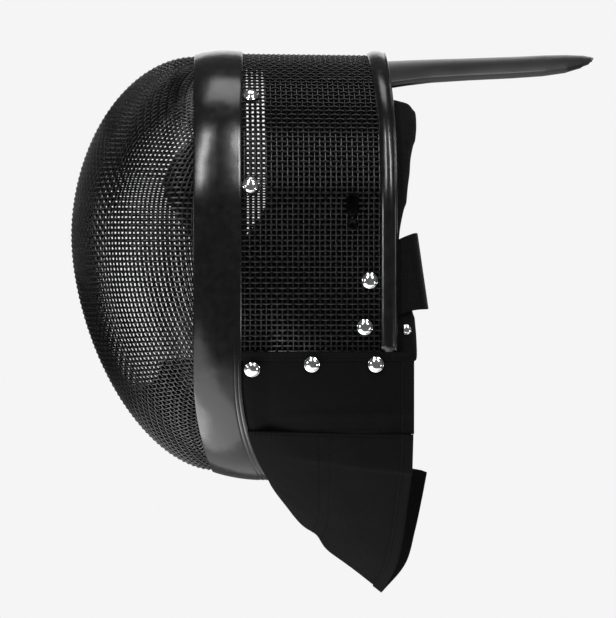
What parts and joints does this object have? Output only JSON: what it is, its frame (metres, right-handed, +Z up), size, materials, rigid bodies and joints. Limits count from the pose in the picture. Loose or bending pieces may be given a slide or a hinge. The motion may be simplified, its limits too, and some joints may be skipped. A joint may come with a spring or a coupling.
{
  "type": "fencing mask",
  "caption": "Fencing mask with a woven wire bowl and side band, gloss trim, padded liner, rear tongue, back strap and cloth bib.",
  "frame": {"origin": "the point of the liner that rests on the top of the head", "axes": "+Z up, the wearer looks along -Y, +X is the wearer's left"},
  "size_m": [0.197, 0.3252, 0.3382],
  "materials": {
    "wire_mesh": "black enamelled woven steel wire",
    "gloss_trim": "high-gloss black moulded vinyl",
    "padding": "black brushed knit over foam",
    "bib_cloth": "matt black tightly woven cloth",
    "tongue_cover": "dark grey coated spring steel",
    "elastic": "black ribbed elastic webbing",
    "nickel": "polished nickel plate",
    "black_metal": "gloss black enamel"
  },
  "bodies": {
    "root": {"front_mesh": "wire_mesh", "side_mesh": "wire_mesh", "front_trim": "gloss_trim", "rear_binding": "gloss_trim", "liner": "padding", "forehead_pad": "padding", "chin_pad": "padding", "tongue": "tongue_cover", "back_strap": "elastic", "bib_yoke_left": "bib_cloth", "bib_yoke_right": "bib_cloth", "bib_apron": "bib_cloth", "rivet_trim_upper_left": "nickel", "rivet_trim_lower_left": "nickel", "rivet_strap_upper_left": "nickel", "rivet_strap_lower_left": "nickel", "rivet_bib_front_left": "nickel", "rivet_bib_middle_left": "nickel", "rivet_bib_rear_left": "nickel", "side_slot_left": "black_metal", "side_stud_left": "black_metal", "wing_snap_left": "nickel", "rivet_trim_upper_right": "nickel", "rivet_trim_lower_right": "nickel", "rivet_strap_upper_right": "nickel", "rivet_strap_lower_right": "nickel", "rivet_bib_front_right": "nickel", "rivet_bib_middle_right": "nickel", "rivet_bib_rear_right": "nickel", "side_slot_right": "black_metal", "side_stud_right": "black_metal", "wing_snap_right": "nickel"}
  },
  "joints": []
}
